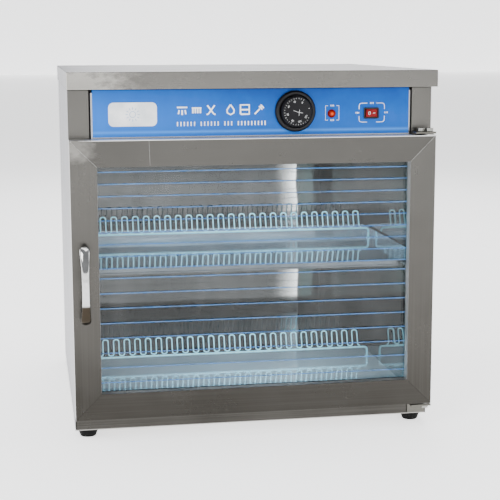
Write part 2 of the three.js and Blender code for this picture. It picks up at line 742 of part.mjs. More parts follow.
// Pins have a hexagon head against the plate.
const headHigh = 5;
const headRadius = 5.4;
const pinReach = plateThick + plateGap + 9;
const hexHead = (x, y, z0, z1) => uprightRod(headRadius, x, y, z0, z1, 6);
const topHeadLow = topPlateLow + plateThick + rest;
const topPin = join(
  hexHead(pivotX, pivotY, topHeadLow, topHeadLow + headHigh),
  uprightRod(pinRadius, pivotX, pivotY, topHeadLow - pinReach, topHeadLow + 1, 20)
);
add("hinge_pin_top", topPin, zinc);
const bottomHeadTop = bottomPlateTop - plateThick - rest;
const bottomPin = join(
  hexHead(pivotX, pivotY, bottomHeadTop - headHigh + 1, bottomHeadTop),
  uprightRod(pinRadius, pivotX, pivotY, bottomHeadTop - 1, bottomHeadTop + pinReach, 20)
);
add("hinge_pin_bottom", bottomPin, zinc);
const stopX = pivotX - 11.5;
const stopY = pivotY + 2;
add("hinge_stop_bolt", hexHead(stopX, stopY, topHeadLow, topHeadLow + headHigh), zinc);

// Flanged bushes, a running fit on the pins.
const bush = turned([
  [pinRadius + running, -1.2], [pinRadius + 4, -1.2], [pinRadius + 4, -rest], [bushHole - 0.2, -rest],
  [bushHole - 0.2, 7], [pinRadius + running, 7], [pinRadius + running, -1.2],
], 32);
add("hinge_bush_bottom", bush.clone().translate(pivotX, pivotY, doorLow), nylon);
add("hinge_bush_top", bush.clone().rotateX(Math.PI).translate(pivotX, pivotY, doorTop), nylon);

// ---- Lamps and electrics ----
const socketThick = 12;
const lampProfile = [
  [0, -lampLong / 2], [lampRadius, -lampLong / 2], [lampRadius, lampLong / 2], [0, lampLong / 2],
];
function lamp(z) {
  return turned(lampProfile, 28).rotateY(Math.PI / 2).translate(0, lampBack, z);
}
const socketX = lampLong / 2 + slip;
for (const [tier, under] of [["upper", ceiling - rest], ["lower", shelfLow - rest]]) {
  const lampZ = under - lampDrop;
  add(`uv_lamp_${tier}`, lamp(lampZ), lampGlass);
  for (const side of [-1, 1]) {
    const [x0, x1] = [side * socketX, side * (socketX + socketThick)].sort((a, b) => a - b);
    const outline = new THREE.Shape();
    outline.moveTo(lampBack + lampRadius, under);
    outline.lineTo(lampBack - lampRadius, under);
    outline.lineTo(lampBack - lampRadius, lampZ);
    outline.absarc(lampBack, lampZ, lampRadius, Math.PI, Math.PI * 2, false);
    add(`lamp_socket_${tier}_${side < 0 ? "left" : "right"}`, lateral(outline, x0, x1, 10), nylon);
  }
}

const ballastLow = ceiling + gauge + rest;
add("ballast", block(-150, -20, 150, 190, ballastLow, ballastLow + 24), zinc);

const blockBack = linerBack + gauge + rest;
const terminalX = glandX;
const terminalZ = glandZ + 40;
add("terminal_block", block(terminalX - 28, terminalX + 28, blockBack, blockBack + 18, terminalZ, terminalZ + 16), nylon);

// Cord outlet: a gland through the back sheet. Its bore is open for the cord.
const glandBore = 3.6;
const gland = turned([
  [glandBore, -12], [glandShank, -12], [glandShank, 0.1], [11.5, 0.1],
  [11.5, 6], [9.5, 7], [9.5, 12], [7, glandLong], [glandBore, glandLong], [glandBore, -12],
], 24).rotateX(-Math.PI / 2);
add("cable_gland", gland.translate(glandX, depth, glandZ), black);

// Wiring between the terminal block and the timer, up behind the chamber and over its ceiling.
const loomRadius = 3;
const loomHigh = ceiling + gauge + loomRadius + 2;
const loomBack = linerBack + 20;
const loomRoute = roundedRoute([
  axis(terminalX, loomBack - 10, terminalZ + 16 + slip),
  axis(terminalX, loomBack - 10, loomHigh),
  axis(terminalX, 120, loomHigh),
  axis(timerX, 120, loomHigh),
  axis(timerX, 60, timerZ - 10),
  axis(timerX, gauge + 36 + slip, timerZ - 10),
], 12, 4);
add("wiring_loom", wire(loomRoute, loomRadius, 8), black);

export default root;
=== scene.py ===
import json
import math

import bmesh
import bpy
from bpy.props import FloatProperty, FloatVectorProperty, IntProperty, PointerProperty
from mathutils import Matrix, Vector
from mathutils.bvhtree import BVHTree


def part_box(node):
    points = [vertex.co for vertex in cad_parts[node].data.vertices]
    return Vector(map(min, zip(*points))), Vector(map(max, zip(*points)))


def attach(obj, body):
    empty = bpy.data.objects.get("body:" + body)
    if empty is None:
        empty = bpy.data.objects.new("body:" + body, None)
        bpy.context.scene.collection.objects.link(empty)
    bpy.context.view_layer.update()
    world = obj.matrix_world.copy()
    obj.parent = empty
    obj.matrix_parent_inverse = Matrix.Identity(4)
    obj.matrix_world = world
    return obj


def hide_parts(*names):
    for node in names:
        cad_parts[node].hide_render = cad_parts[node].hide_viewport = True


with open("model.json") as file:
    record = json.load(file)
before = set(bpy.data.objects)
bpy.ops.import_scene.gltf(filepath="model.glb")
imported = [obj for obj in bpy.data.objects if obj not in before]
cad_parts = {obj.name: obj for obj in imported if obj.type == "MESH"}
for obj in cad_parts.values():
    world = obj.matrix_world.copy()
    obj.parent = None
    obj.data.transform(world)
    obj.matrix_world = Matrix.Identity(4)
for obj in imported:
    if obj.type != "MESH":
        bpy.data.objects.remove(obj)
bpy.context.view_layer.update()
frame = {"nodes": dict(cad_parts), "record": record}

bl_info = {
    "name": "Sterilizer Cabinet",
    "version": (1, 0, 0),
    "blender": (4, 5, 0),
    "location": "View3D > Sidebar > Cabinet",
    "description": "Builds the looks of a stainless ultraviolet sterilizer cabinet around its solids",
    "category": "Object",
}

MM = 0.001
BODY_OF = {n: b for b, ns in frame["record"]["behaviour"]["bodies"].items() for n in ns}
SLOT_OF = {s["node"]: s["material_slot"] for s in frame["record"]["subparts"]}
STAGE_SIZE = 40.0
SHEEN_PLACE = 114 * MM  # x of the painted reflection band in the chamber's back wall
LENS_MM = 92.57
CAMERA_PLACE = Vector((-0.3026, -1.9334, 0.5416))
CAMERA_YAW, CAMERA_PITCH, CAMERA_ROLL = (math.radians(a) for a in (9.777, 9.243, -0.168))


# ---- Settings ----
def length_mm(name, description, default):
    return FloatProperty(name=name, description=description, default=default * MM, unit="LENGTH")


def tint(name, description, default):
    return FloatVectorProperty(
        name=name, description=description, default=default, subtype="COLOR", min=0, max=1
    )


class CabinetSizes(bpy.types.PropertyGroup):
    fold_radius: length_mm("Fold radius", "Outside radius of a fold in a sheet", 1.1)
    sheet_edge: length_mm("Sheet edge", "Rounding of a cut sheet edge", 0.25)
    stripe_high: length_mm("Stripe", "Height of a printed stripe on the glass", 1.35)
    upper_pitch: length_mm("Upper stripe pitch", "Between stripes over the upper tier", 16.3)
    lower_pitch: length_mm("Lower stripe pitch", "Between stripes over the lower tier", 20.6)
    loop_pitch: length_mm("Loop pitch", "Between the loops of a rack", 16.5)
    stroke: length_mm("Print stroke", "Width of the printed lines on the fascia", 0.75)
    tick_long: length_mm("Tick", "Length of a tick on the dial", 1.9)
    rail_turns: IntProperty(name="Wire sides", description="Sides of a round wire", default=12)


class CabinetColours(bpy.types.PropertyGroup):
    # Painted reflection: steel_high to steel_low paints the front steel darker towards the feet; side_steel is a
    # lighter painted copy of the steel for faces turned up or aside.
    steel_high: tint("Steel, upper", "Front steel near the lid", (0.200, 0.193, 0.178))
    steel_low: tint("Steel, lower", "Front steel near the feet", (0.026, 0.0235, 0.020))
    side_steel: tint("Side steel", "Casing sides and the lid's top", (0.34, 0.34, 0.36))
    mirror_steel: tint("Mirror steel", "Polished chamber", (0.40, 0.425, 0.43))
    film: tint("Film", "Blue fascia film", (0.002, 0.050, 0.27))
    film_light: tint("Film, light", "Lighter end of the film", (0.03, 0.25, 0.90))
    print_white: tint("Print", "White print", (0.86, 0.90, 0.94))
    stripe_blue: tint("Stripe", "Stripes on the glass", (0.04, 0.15, 0.36))
    wire: tint("Wire", "Coated rack wire", (0.42, 0.86, 1.0))
    lens: tint("Lens", "Pilot lamp", (0.85, 0.03, 0.01))
    paddle: tint("Paddle", "Rocker of the switch", (0.15, 0.001, 0.003))


# ---- Finishes: patterns in the piece's own space ----
class Finish:
    """A material on a Principled shader, with patterns that read object coordinates."""

    def __init__(self, name, **sockets):
        self.material = bpy.data.materials.new(name)
        self.material.use_nodes = True
        self.tree = self.material.node_tree
        self.shader = self.tree.nodes["Principled BSDF"]
        for label, value in sockets.items():
            self.put(label.replace("_", " "), value)
        coordinates = self.tree.nodes.new("ShaderNodeTexCoord")
        self.place = coordinates.outputs["Object"]

    def put(self, label, value):
        socket = self.shader.inputs[label]
        if isinstance(value, bpy.types.NodeSocket):
            self.tree.links.new(value, socket)
        else:
            socket.default_value = (*value, 1) if isinstance(value, tuple) and len(value) == 3 else value

    def node(self, kind, **inputs):
        made = self.tree.nodes.new(kind)
        for label, value in inputs.items():
            socket = made.inputs[label.replace("_", " ")]
            if isinstance(value, bpy.types.NodeSocket):
                self.tree.links.new(value, socket)
            else:
                socket.default_value = value
        return made

    def stretched(self, scale, shift=(0, 0, 0)):
        return self.node("ShaderNodeMapping", Vector=self.place, Location=shift, Scale=scale).outputs[0]

    def noise(self, scale, detail=3, vector=None, roughness=0.55):
        vector = vector or self.place
        made = self.node("ShaderNodeTexNoise", Vector=vector, Scale=scale, Detail=detail, Roughness=roughness)
        return made.outputs["Fac"]

    def span(self, value, low, high, to_low=0.0, to_high=1.0):
        made = self.tree.nodes.new("ShaderNodeMapRange")
        self.tree.links.new(value, made.inputs["Value"])
        numbers = {"From Min": low, "From Max": high, "To Min": to_low, "To Max": to_high}
        for label, number in numbers.items():
            made.inputs[label].default_value = number
        return made.outputs["Result"]

    def maths(self, operation, first, second):
        made = self.tree.nodes.new("ShaderNodeMath")
        made.operation = operation
        for socket, value in zip(made.inputs, (first, second)):
            if isinstance(value, bpy.types.NodeSocket):
                self.tree.links.new(value, socket)
            else:
                socket.default_value = value
        return made.outputs[0]

    def mixed(self, share, first, second):
        made = self.tree.nodes.new("ShaderNodeMix")
        made.data_type = "RGBA"
        for label, value in (("Factor_Float", share), ("A_Color", first), ("B_Color", second)):
            socket = next(s for s in made.inputs if s.identifier == label)
            if isinstance(value, bpy.types.NodeSocket):
                self.tree.links.new(value, socket)
            else:
                socket.default_value = (*value, 1) if not isinstance(value, float) else value
        return next(s for s in made.outputs if s.identifier == "Result_Color")

    def along(self, axis):
        made = self.node("ShaderNodeSeparateXYZ", Vector=self.place)
        return made.outputs["XYZ".index(axis)]

    def near(self, centre, reach):
        """1 at a point, falling to 0 at a distance."""
        made = self.node("ShaderNodeVectorMath", Vector=self.place)
        made.operation = "DISTANCE"
        made.inputs[1].default_value = centre
        return self.span(made.outputs["Value"], 0.0, reach, 1.0, 0.0)

    def bump(self, height, strength, distance=0.0005, normal=None):
        made = self.node("ShaderNodeBump", Height=height, Strength=strength, Distance=distance)
        if normal:
            self.tree.links.new(normal, made.inputs["Normal"])
        return made.outputs["Normal"]


def scaled(colour, share):
    return tuple(min(1.0, c * share) for c in colour[:3])


GRAIN = {"X": (4, 460, 460), "Y": (460, 4, 460), "Z": (460, 460, 4)}


def brushed(name, high, low, grain="X", rough=0.30, gleam=None, reach=0.05, lit_skin=None, lip=None,
            shadow_seam=None, fold=None):
    """Satin steel: grain along one axis and smudged, with a painted reflection that darkens it towards the floor.
    gleam is the middle of a ground weld that spreads over reach, and stays off the skin.
    skin is a painted highlight, a lighter second tone for what lies behind a front face: (y of the change, colour).
    lip is the height of a fold at the foot of the sheet, painted bright as a highlight; seam the height of a joint
    above that, with a painted shadow line under it; and fold the height of a fold at the top, painted bright as a
    highlight."""
    look = Finish(name, Metallic=1.0)
    streaks = look.noise(1.0, 2, look.stretched(GRAIN[grain]))
    smudge = look.noise(5.0, 4)
    cloud = look.noise(14.0, 5, roughness=0.7)
    # Painted reflection: going from low near the floor to high further up, the steel is painted darker towards the
    # floor.
    height = look.span(look.along("Z"), 0.06, 0.42)
    base = look.mixed(height, tuple(low[:3]), tuple(high[:3]))
    tone = look.mixed(look.span(smudge, 0.38, 0.62), scaled(high, 0.55), scaled(high, 1.0))
    colour = look.mixed(0.22, base, tone)
    colour = look.mixed(look.span(streaks, 0.35, 0.7, 0.0, 0.10), colour, scaled(high, 1.2))
    # Painted highlight: what lies behind the front face is painted in the lighter skin tone.
    if lit_skin:
        behind = look.span(look.along("Y"), lit_skin[0], lit_skin[0] + 0.6 * MM)
        shade = look.mixed(look.span(cloud, 0.3, 0.7), scaled(lit_skin[1], 0.92), tuple(lit_skin[1][:3]))
        colour = look.mixed(behind, colour, shade)
        rough_skin = look.span(behind, 0.0, 1.0, 0.0, 0.12)
    # Painted highlight: the fold at the foot of the sheet is painted bright.
    if lip:
        colour = look.mixed(look.span(look.along("Z"), lip, lip + 0.5 * MM), (0.34, 0.33, 0.31), colour)
    # Painted shadow: a dark line is painted just under the joint at the seam height.
    if shadow_seam:
        colour = look.mixed(look.span(look.along("Z"), shadow_seam - 2.4 * MM, shadow_seam - 1.0 * MM), colour, scaled(high, 0.12))
    # Painted highlight: a bright line is painted along the fold at the top.
    if fold:
        colour = look.mixed(look.span(look.along("Z"), fold - 1.5 * MM, fold - 0.9 * MM), colour, (0.9, 0.9, 0.89))
    roughness = look.maths("ADD", look.span(cloud, 0.3, 0.7, rough - 0.05, rough + 0.07),
                           look.span(streaks, 0.3, 0.7, -0.015, 0.02))
    if lit_skin:
        roughness = look.maths("ADD", roughness, rough_skin)
    normal = look.bump(smudge, 0.05, 0.0012)
    if gleam:
        ground = look.near(gleam, reach)
        scratched = look.noise(1.0, 5, look.stretched((38, 38, 70)), 0.65)
        ragged = look.maths("MULTIPLY", ground, look.span(scratched, 0.30, 0.70, 0.5, 1.6))
        ragged = look.span(ragged, 0.30, 0.85)
        if lit_skin:
            ragged = look.maths("MULTIPLY", ragged, look.maths("SUBTRACT", 1.0, behind))
        colour = look.mixed(ragged, colour, scaled(high, 2.2))
        roughness = look.maths("SUBTRACT", roughness, look.maths("MULTIPLY", ragged, 0.12))
        normal = look.bump(look.noise(90.0, 3), 0.10, 0.0004, normal)
    look.put("Base Color", colour)
    look.put("Roughness", roughness)
    look.put("Normal", normal)
    return look.material


def polished(name, tone, rough=0.07, wave=0.35, sheen=None, metal=1.0, lip=None):
    """Mirror-polished sheet with the slow waves of thin steel and faint cleaning marks.
    sheen is the x of a painted reflection: an upright band painted pale to its left and dim to its right.
    lip is the y of a front edge, painted dark as shade."""
    look = Finish(name, Metallic=metal)
    slow = look.noise(6.0, 2)
    wiped = look.noise(1.0, 3, look.stretched((60, 9, 22)))
    colour = look.mixed(look.span(slow, 0.3, 0.7), scaled(tone, 0.82), scaled(tone, 1.10))
    # Painted reflection: a pale upright band with a dim, streaked stretch to its right.
    if sheen:
        drift = look.maths("ADD", look.along("X"), look.span(slow, 0.3, 0.7, -6 * MM, 6 * MM))
        # folds streaks the painted dim reflection.
        folds = look.noise(1.0, 3, look.stretched((70, 70, 5)))
        pale = look.maths("MULTIPLY", look.span(drift, sheen - 34 * MM, sheen + 1 * MM),
                          look.span(drift, sheen + 4 * MM, sheen + 7 * MM, 1.0, 0.0))
        dim = look.maths("MULTIPLY", look.span(drift, sheen + 4 * MM, sheen + 8 * MM),
                         look.span(drift, sheen + 50 * MM, sheen + 95 * MM, 1.0, 0.0))
        colour = look.mixed(look.maths("MULTIPLY", pale, pale), colour, (0.60, 0.64, 0.64))
        colour = look.mixed(look.maths("MULTIPLY", dim, look.span(folds, 0.35, 0.65, 0.35, 0.95)), colour,
                            (0.030, 0.048, 0.048))
    # Painted shade: the front face of the edge is painted much darker.
    if lip:
        colour = look.mixed(look.span(look.along("Y"), lip, lip + 0.6 * MM), scaled(tone, 0.15), colour)
    look.put("Base Color", colour)
    look.put("Roughness", look.span(wiped, 0.35, 0.7, rough, rough + 0.05))
    look.put("Normal", look.bump(wiped, 0.03, 0.0004, look.bump(slow, wave, 0.004)))
    return look.material


def plated(name, tone, rough=0.12):
    """Chrome or zinc plate with fine pits and finger marks."""
    look = Finish(name, Metallic=1.0)
    marks = look.noise(60.0, 4)
    look.put("Base Color", look.mixed(look.span(marks, 0.4, 0.65), scaled(tone, 0.9), tuple(tone[:3])))
    look.put("Roughness", look.span(marks, 0.35, 0.7, rough, rough + 0.10))
    look.put("Normal", look.bump(look.noise(700.0, 2), 0.04, 0.0001))
    return look.material


def moulded(name, tone, rough=0.42, grit=900.0, depth=0.12, gloss=0.3):
    """Moulded plastic or rubber with a fine spark-eroded skin."""
    look = Finish(name, Specular_IOR_Level=gloss)
    grain = look.noise(grit, 3)
    worn = look.noise(35.0, 4)
    look.put("Base Color", look.mixed(look.span(worn, 0.35, 0.7), scaled(tone, 0.85), scaled(tone, 1.25)))
    look.put("Roughness", look.span(worn, 0.3, 0.7, rough - 0.06, rough + 0.08))
    look.put("Normal", look.bump(grain, depth, 0.0002))
    return look.material


# ---- Modelling helpers ----
def only(piece):
    bpy.ops.object.select_all(action="DESELECT")
    piece.select_set(True)
    bpy.context.view_layer.objects.active = piece


def settled(piece, name):
    """Gives a piece its name and puts its place into its mesh."""
    piece.name = piece.data.name = name
    only(piece)
    bpy.ops.object.transform_apply(location=True, rotation=True, scale=True)
    return piece


def finished(piece, material, body, slot, *nodes, angle=35):
    piece.data.materials.clear()
    piece.data.materials.append(material)
    only(piece)
    bpy.ops.object.shade_smooth_by_angle(angle=math.radians(angle))
    applied(piece, "WEIGHTED_NORMAL", mode="FACE_AREA", weight=50, keep_sharp=True)
    if nodes:
        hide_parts(*nodes)
    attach(piece, body)
    return piece


def applied(piece, kind, **settings):
    only(piece)
    modifier = piece.modifiers.new(kind.title(), kind)
    for label, value in settings.items():
        setattr(modifier, label, value)
    bpy.ops.object.modifier_apply(modifier=modifier.name)
    return piece


def merged_copy(node, name):
    """A copy of a node's mesh with its loose triangles joined into flat faces."""
    piece = frame["nodes"][node].copy()
    piece.data = piece.data.copy()
    for key in list(piece.keys()):
        del piece[key]
    piece.parent = None
    bpy.context.scene.collection.objects.link(piece)
    piece.name = piece.data.name = name
    only(piece)
    bpy.ops.object.mode_set(mode="EDIT")
    bpy.ops.mesh.select_all(action="SELECT")
    bpy.ops.mesh.remove_doubles(threshold=2e-6)
    bpy.ops.mesh.dissolve_limited(angle_limit=math.radians(0.4))
    bpy.ops.object.mode_set(mode="OBJECT")
    return piece


def weigh_folds(piece, fold, edge, panel=2.2 * MM, sharp=25):
    """Full bevel weight on the outside of folds, less on cut edges, none elsewhere."""
    mesh = bmesh.new()
    mesh.from_mesh(piece.data)
    weights = mesh.edges.layers.float.new("bevel_weight_edge")
    wide = {f: 2 * f.calc_area() > panel * sum(e.calc_length() for e in f.edges) for f in mesh.faces}
    for line in mesh.edges:
        if len(line.link_faces) != 2 or line.calc_face_angle() < math.radians(sharp):
            continue
        if line.is_convex:
            line[weights] = 1.0 if all(wide[f] for f in line.link_faces) else edge / fold
    mesh.to_mesh(piece.data)
    mesh.free()


def sheet_piece(node, material, fold=None, edge=None, steps=3):
    """A folded sheet with rounded folds and softened cut edges, in place of its plain solid."""
    sizes = bpy.context.scene.cabinet_sizes
    fold = fold or sizes.fold_radius
    edge = edge or sizes.sheet_edge
    piece = merged_copy(node, node + "_sheet")
    weigh_folds(piece, fold, edge)
    applied(piece, "BEVEL", limit_method="WEIGHT", width=fold, segments=steps, use_clamp_overlap=True)
    return finished(piece, material, BODY_OF[node], SLOT_OF[node], node)


def eased_piece(node, material, width, steps=2, angle=30, name=None):
    """A solid piece with every sharp edge eased, in place of its plain solid."""
    piece = merged_copy(node, name or node + "_eased")
    applied(piece, "BEVEL", limit_method="ANGLE", angle_limit=math.radians(angle), width=width,
            segments=steps, use_clamp_overlap=True)
    return finished(piece, material, BODY_OF[node], SLOT_OF[node], node)


def dressed(node, material):
    """A node that keeps its own mesh and gets a better material."""
    target = frame["nodes"][node]
    target.data.materials.clear()
    target.data.materials.append(material)


def block(name, low, high, ease=0.0, steps=2):
    """A cube primitive between two corners, with its edges eased."""
    low, high = Vector(low), Vector(high)
    bpy.ops.object.select_all(action="DESELECT")
    bpy.ops.mesh.primitive_cube_add(size=1, location=(low + high) / 2)
    piece = bpy.context.object
    piece.scale = high - low
    settled(piece, name)
    if ease:
        applied(piece, "BEVEL", width=ease, segments=steps, limit_method="NONE")
    return piece


def joined(pieces, name):
    bpy.ops.object.select_all(action="DESELECT")
    for piece in pieces:
        piece.select_set(True)
    bpy.context.view_layer.objects.active = pieces[0]
    if len(pieces) > 1:
        bpy.ops.object.join()
    pieces[0].name = pieces[0].data.name = name
    return pieces[0]


def drawn(name, lines, radius, sides=8, closed=False, flat=None):
    """Round wire along polylines, or a flat printed line when it is pressed flat at a depth y."""
    bpy.ops.object.select_all(action="DESELECT")
    bpy.ops.curve.primitive_nurbs_path_add()
    piece = bpy.context.object
    curve = piece.data
    curve.splines.clear()
    for line in lines:
        spline = curve.splines.new("POLY")
        spline.points.add(len(line) - 1)
        for point, place in zip(spline.points, line):
            point.co = (*place, 1)
        spline.use_cyclic_u = closed
    curve.dimensions = "3D"
    curve.bevel_depth = radius
    curve.bevel_resolution = max(0, sides // 4 - 1)
    curve.use_fill_caps = True
    piece.location = (0, 0, 0)
    only(piece)
    bpy.ops.object.convert(target="MESH")
    piece = bpy.context.object
    settled(piece, name)
    if flat is not None:
        for vertex in piece.data.vertices:
            vertex.co.y = flat + (vertex.co.y - flat) * 0.06
    return piece


def rounded(corners, radius, chords=4, closed=False):
    """A polyline with its corners rounded by short chords."""
    corners = [Vector(c) for c in corners]
    count = len(corners)
    route = [] if closed else [corners[0]]
    for i in range(0 if closed else 1, count if closed else count - 1):
        here, before, after = corners[i], corners[i - 1], corners[(i + 1) % count]
        start = here + (before - here).normalized() * radius
        end = here + (after - here).normalized() * radius
        for k in range(chords + 1):
            t = k / chords
            route.append(start.lerp(here, t).lerp(here.lerp(end, t), t))
    return route if closed else route + [corners[-1]]


class BuildStep:
    """What every build operator shares."""

    bl_options = {"REGISTER", "UNDO"}

    def execute(self, context):
        self.build(context.scene.cabinet_sizes, context.scene.cabinet_colours)
        return {"FINISHED"}


# ---- Stage ----
class CABINET_OT_stage(BuildStep, bpy.types.Operator):
    """Adds the camera, the soft lights and the plain pale floor"""

    bl_idname = "cabinet.stage"
    bl_label = "Stage"

    def build(self, sizes, colours):
        scene = bpy.context.scene
        bpy.ops.object.select_all(action="DESELECT")
        bpy.ops.object.camera_add(location=CAMERA_PLACE)
        camera = bpy.context.object
        ahead = Vector((
            math.sin(CAMERA_YAW) * math.cos(CAMERA_PITCH),
            math.cos(CAMERA_YAW) * math.cos(CAMERA_PITCH),
            -math.sin(CAMERA_PITCH),
        ))
        turn = ahead.to_track_quat("-Z", "Y").to_matrix() @ Matrix.Rotation(CAMERA_ROLL, 3, "Z")
        camera.rotation_euler = turn.to_euler()
        camera.data.lens = LENS_MM
        camera.data.clip_end = 60
        scene.camera = camera

        world = scene.world or bpy.data.worlds.new("Studio")
        scene.world = world
        world.use_nodes = True
        world.node_tree.nodes["Background"].inputs["Color"].default_value = (0.85, 0.87, 0.90, 1)
        world.node_tree.nodes["Background"].inputs["Strength"].default_value = 0.45

        lamps = (
            ("Key", (-1.9, -1.9, 2.3), (0.1, 0, 0.3), 1.6, 55),
            ("Overhead", (0.3, 0.4, 2.9), (0, 0.1, 0), 2.6, 70),
            ("Left", (-2.4, 0.6, 1.1), (0, 0.1, 0.3), 1.8, 45),
            ("Right", (2.4, -0.3, 1.5), (0, 0, 0.3), 1.4, 22),
            ("Front", (0.3, -3.2, 1.05), (0.05, 0, 0.25), 1.9, 60),
            ("Behind", (0.6, 2.6, 1.8), (0, 0, 0.3), 1.6, 30),
        )
        for tier, height in (("Upper tier", 0.352), ("Lower tier", 0.185)):
            bpy.ops.object.light_add(type="AREA", location=(0.02, -0.04, height))
            glow = bpy.context.object
            glow.name = tier
            glow.data.size = 0.3
            glow.data.energy = 0.6
            glow.data.color = (0.62, 0.84, 1.0)
            glow.visible_glossy = False
        for name, place, aim, size, power in lamps:
            bpy.ops.object.light_add(type="AREA", location=place)
            lamp = bpy.context.object
            lamp.name = name
            lamp.data.size = size
            lamp.data.energy = power
            lamp.visible_glossy = name != "Front"
            lamp.rotation_euler = (Vector(aim) - Vector(place)).to_track_quat("-Z", "Y").to_euler()

        bpy.ops.object.select_all(action="DESELECT")
        bpy.ops.mesh.primitive_plane_add(size=STAGE_SIZE, location=(0, 0, 0))
        floor = settled(bpy.context.object, "studio_floor")
        only(floor)
        bpy.ops.object.mode_set(mode="EDIT")
        bpy.ops.mesh.select_mode(type="EDGE")
        bpy.ops.mesh.select_all(action="SELECT")
        bpy.ops.mesh.extrude_edges_move(TRANSFORM_OT_translate={"value": (0, 0, 3)})
        bpy.ops.mesh.select_mode(type="VERT")
        bpy.ops.object.mode_set(mode="OBJECT")
        look = Finish("studio_paper", Roughness=0.9, Emission_Strength=1.4)
        look.put("Emission Color", (1.0, 1.0, 1.0))
        speck = look.noise(3.0, 4)
        look.put("Base Color", look.mixed(speck, (0.90, 0.90, 0.905), (0.93, 0.93, 0.93)))
        floor.data.materials.append(look.material)


# ---- Casing ----
class CABINET_OT_casing(BuildStep, bpy.types.Operator):
    """Builds the lid, the side skins, the floor sheet and the back"""

    bl_idname = "cabinet.casing"
    bl_label = "Casing"

    def build(self, sizes, colours):
        front_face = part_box("side_panel_left")[0].y
        # The sides' faces behind the front get a painted lighter tone, and a painted shadow line lies under the lid.
        side = brushed("casing_side", scaled(colours.steel_high, 0.66), colours.steel_low, "Z", 0.32,
                       lit_skin=(front_face + 0.8 * MM, colours.side_steel), shadow_seam=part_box("top_lid")[0].z)
        rear = brushed("casing_rear", colours.side_steel, scaled(colours.side_steel, 0.9), "Z", 0.34)
        # The front sheet's foot fold gets a painted highlight.
        front = brushed("casing_front", colours.steel_high, scaled(colours.steel_low, 0.8), "X", 0.30,
                        lip=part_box("bottom_pan")[0].z + 1.0 * MM)
        low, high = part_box("top_lid")
        corner = (low.x + 0.012, low.y, high.z - 0.014)
        # The lid's top and sides, behind its front flange, get a painted lighter tone than the flange.
        lid = brushed("lid_steel", scaled(colours.steel_high, 0.8), scaled(colours.steel_high, 0.75), "X", 0.27,
                      gleam=corner, reach=0.12, lit_skin=(low.y + 0.9 * MM, scaled(colours.side_steel, 0.8)))
        sheet_piece("top_lid", lid, fold=1.4 * MM)
        for node in ("side_panel_left", "side_panel_right"):
            sheet_piece(node, side)
        sheet_piece("bottom_pan", front)
        sheet_piece("back_panel", rear)

        low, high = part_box("back_panel")
        middle, inset = (low + high) / 2, 9 * MM
        heads = [
            (x, z) for x in (low.x + inset, middle.x, high.x - inset)
            for z in (low.z + inset, middle.z, high.z - 3.6 * inset) if (x, z) != (middle.x, middle.z)
        ]
        screws = [self.screw(x, high.y, z) for x, z in heads]
        finished(joined(screws, "back_screws"), plated("screw_zinc", (0.42, 0.42, 0.41), 0.2),
                 "cabinet", SLOT_OF["back_panel"])

    def screw(self, x, face, z, radius=3.4 * MM, proud=1.9 * MM):
        """A button head with a sunk drive, facing back."""
        bpy.ops.object.select_all(action="DESELECT")
        bpy.ops.mesh.primitive_cylinder_add(
            vertices=20, radius=radius, depth=proud, location=(x, face + proud / 2, z), rotation=(-math.pi / 2, 0, 0))
        piece = settled(bpy.context.object, "screw")
        bpy.ops.object.mode_set(mode="EDIT")
        bpy.ops.mesh.select_all(action="DESELECT")
        bpy.ops.object.mode_set(mode="OBJECT")
        for side in piece.data.polygons:
            side.select = side.normal.y > 0.9
        bpy.ops.object.mode_set(mode="EDIT")
        bpy.ops.mesh.select_mode(type="FACE")
        bpy.ops.mesh.bevel(offset=0.8 * MM, segments=3, affect="EDGES")
        bpy.ops.mesh.inset(thickness=0.9 * MM)
        bpy.ops.mesh.extrude_region_move(TRANSFORM_OT_translate={"value": (0, -1.1 * MM, 0)})
        bpy.ops.mesh.select_mode(type="VERT")
        bpy.ops.object.mode_set(mode="OBJECT")
        return piece


class CABINET_OT_chamber(BuildStep, bpy.types.Operator):
    """Builds the polished chamber, its shelf and the strips that carry it"""

    bl_idname = "cabinet.chamber"
    bl_label = "Chamber"

    def build(self, sizes, colours):
        wall = polished("chamber_polish", scaled(colours.mirror_steel, 0.7), 0.03, 0.3)
        floor = polished("floor_polish", (0.72, 0.86, 0.97), 0.04, 0.15, metal=0.52)
        shelf = polished("shelf_polish", (0.56, 0.68, 0.78), 0.05, 0.2, metal=0.72,
                         lip=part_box("middle_shelf")[0].y + 0.8 * MM)
        # The back wall is painted as a dark copy of the mirror steel, with a painted reflection band at SHEEN_PLACE.
        sheet_piece("liner_back", polished("back_polish", scaled(colours.mirror_steel, 0.095), 0.03, 0.14, SHEEN_PLACE))
        for node in ("liner_left", "liner_right", "liner_ceiling"):
            sheet_piece(node, wall)
        sheet_piece("chamber_floor", floor)
        for node in ("middle_shelf", "shelf_rest_left", "shelf_rest_right"):
            sheet_piece(node, shelf)


